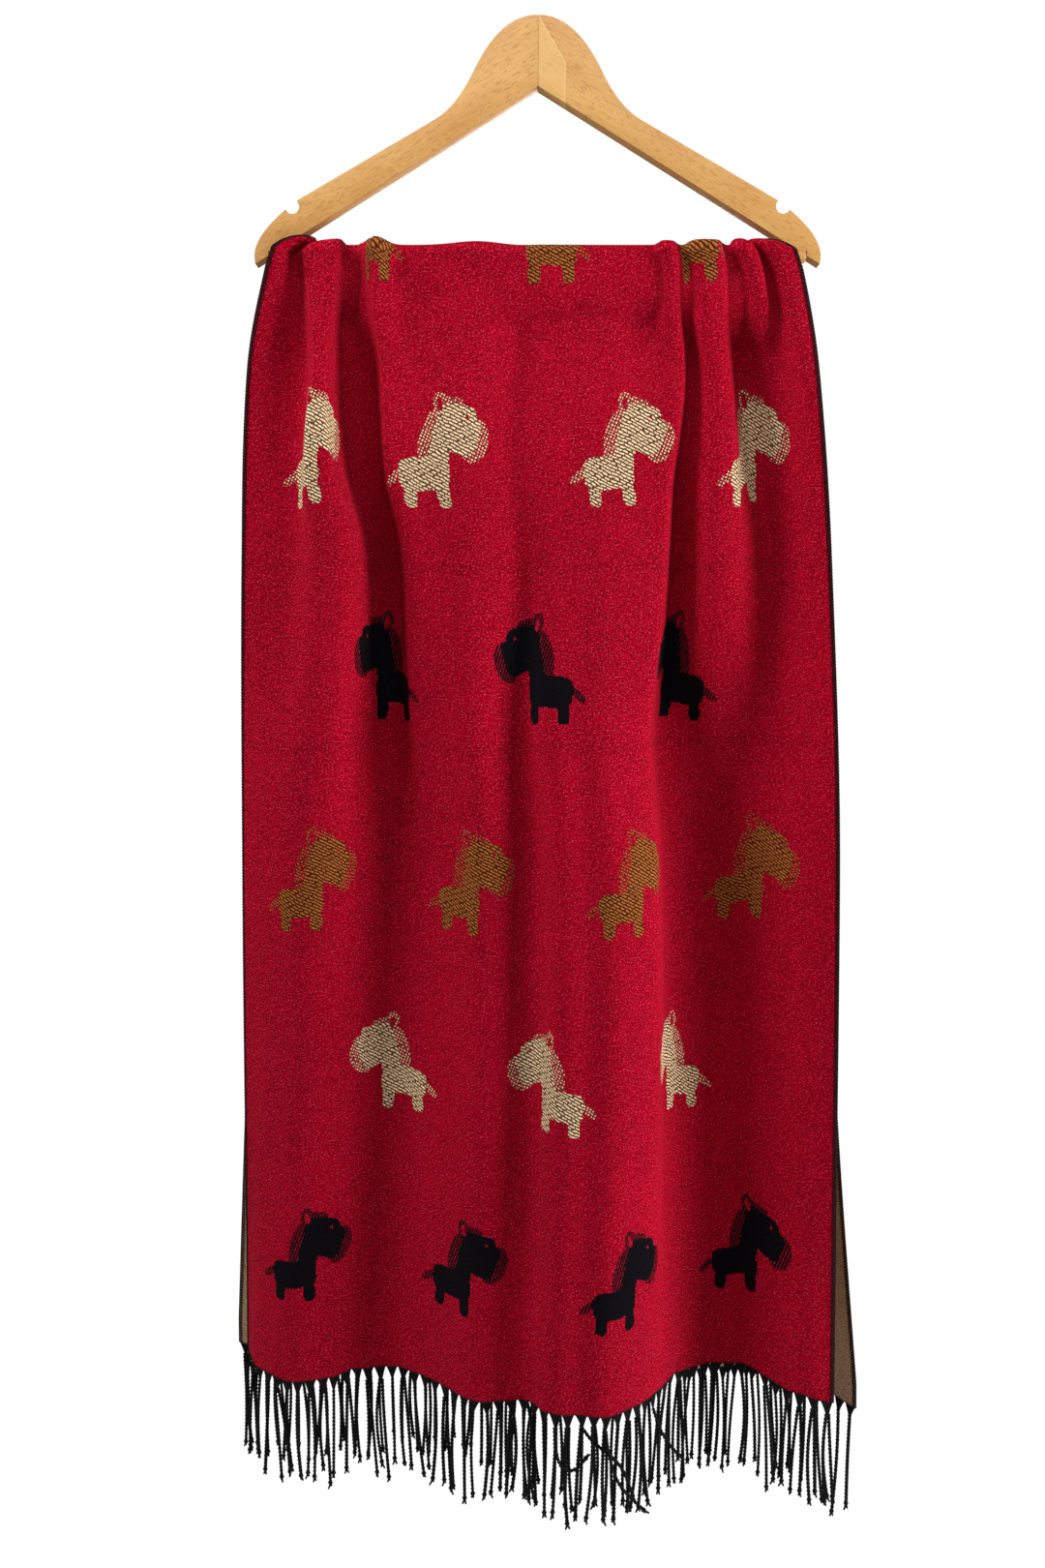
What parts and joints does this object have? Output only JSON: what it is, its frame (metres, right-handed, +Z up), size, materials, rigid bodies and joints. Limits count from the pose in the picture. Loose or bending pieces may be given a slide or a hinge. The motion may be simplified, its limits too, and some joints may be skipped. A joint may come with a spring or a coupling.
{
  "type": "tassel scarf on a wooden hanger",
  "caption": "Wide red jacquard scarf with rows of small ponies and black twisted tassels, folded over the trouser bar of a wooden hanger.",
  "frame": {"origin": "top of the hanger's crown, in the middle of its thickness, where a hook is screwed in and holds the hanger up", "axes": "+Z up, +X to the viewer's right along the trouser bar, +Y away from the viewer, from the front fall to the back fall"},
  "size_m": [0.551, 0.1394, 1.2329],
  "materials": {
    "red_jacquard": "soft brushed twill with woven-in ponies, greyish brown on the reverse",
    "black_yarn": "two-ply twisted cord",
    "honey_beech": "satin lacquer"
  },
  "bodies": {
    "root": {"front_fall": "red_jacquard", "bar_fold": "red_jacquard", "back_fall": "red_jacquard", "front_fringe": "black_yarn", "back_fringe": "black_yarn", "hanger_arm_left": "honey_beech", "hanger_arm_right": "honey_beech", "trouser_bar": "honey_beech"}
  },
  "joints": []
}
